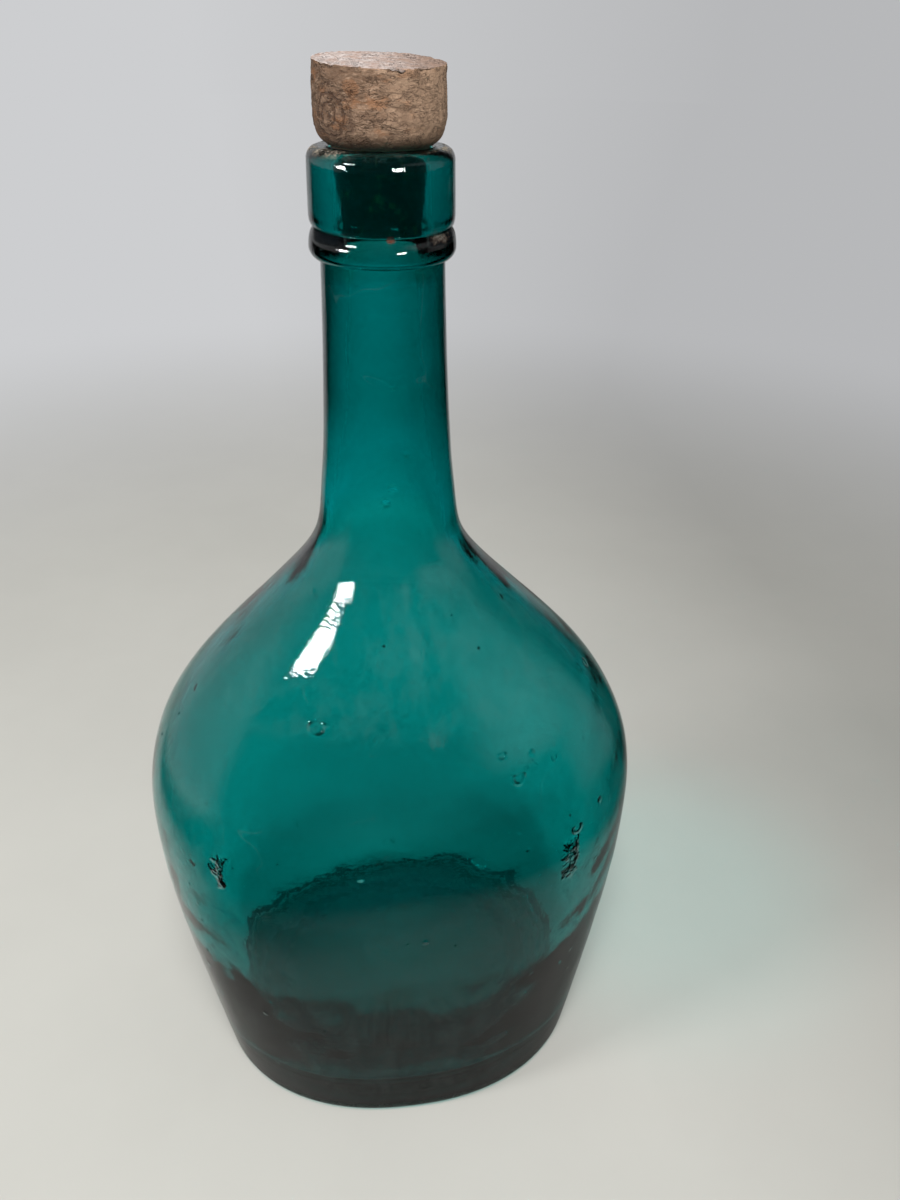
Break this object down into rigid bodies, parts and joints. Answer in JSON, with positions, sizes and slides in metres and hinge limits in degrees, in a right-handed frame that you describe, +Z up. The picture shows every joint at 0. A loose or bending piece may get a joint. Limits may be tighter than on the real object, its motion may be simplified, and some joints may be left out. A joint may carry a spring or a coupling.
{
  "type": "demijohn",
  "caption": "Flattened teal glass demijohn with a long round neck, ring bead and rolled lip, closed by a cut cork.",
  "frame": {"origin": "middle of the foot, on the surface that the bottle stands on", "axes": "+Z up along the neck, X along the long axis of the oval body, -Y towards the viewer of the picture"},
  "size_m": [0.1486, 0.1106, 0.3015],
  "materials": {
    "glass": "blown, slightly rippled teal glass",
    "cork": "matt natural cork, worn"
  },
  "bodies": {
    "bottle": {"glass_bottle": "glass"},
    "stopper": {"cork_stopper": "cork"}
  },
  "joints": [
    {"name": "stopper_slide", "type": "slide", "parent": "bottle", "child": "stopper", "axis": [0, 0, 1], "range_m": [0, 0.06]}
  ]
}
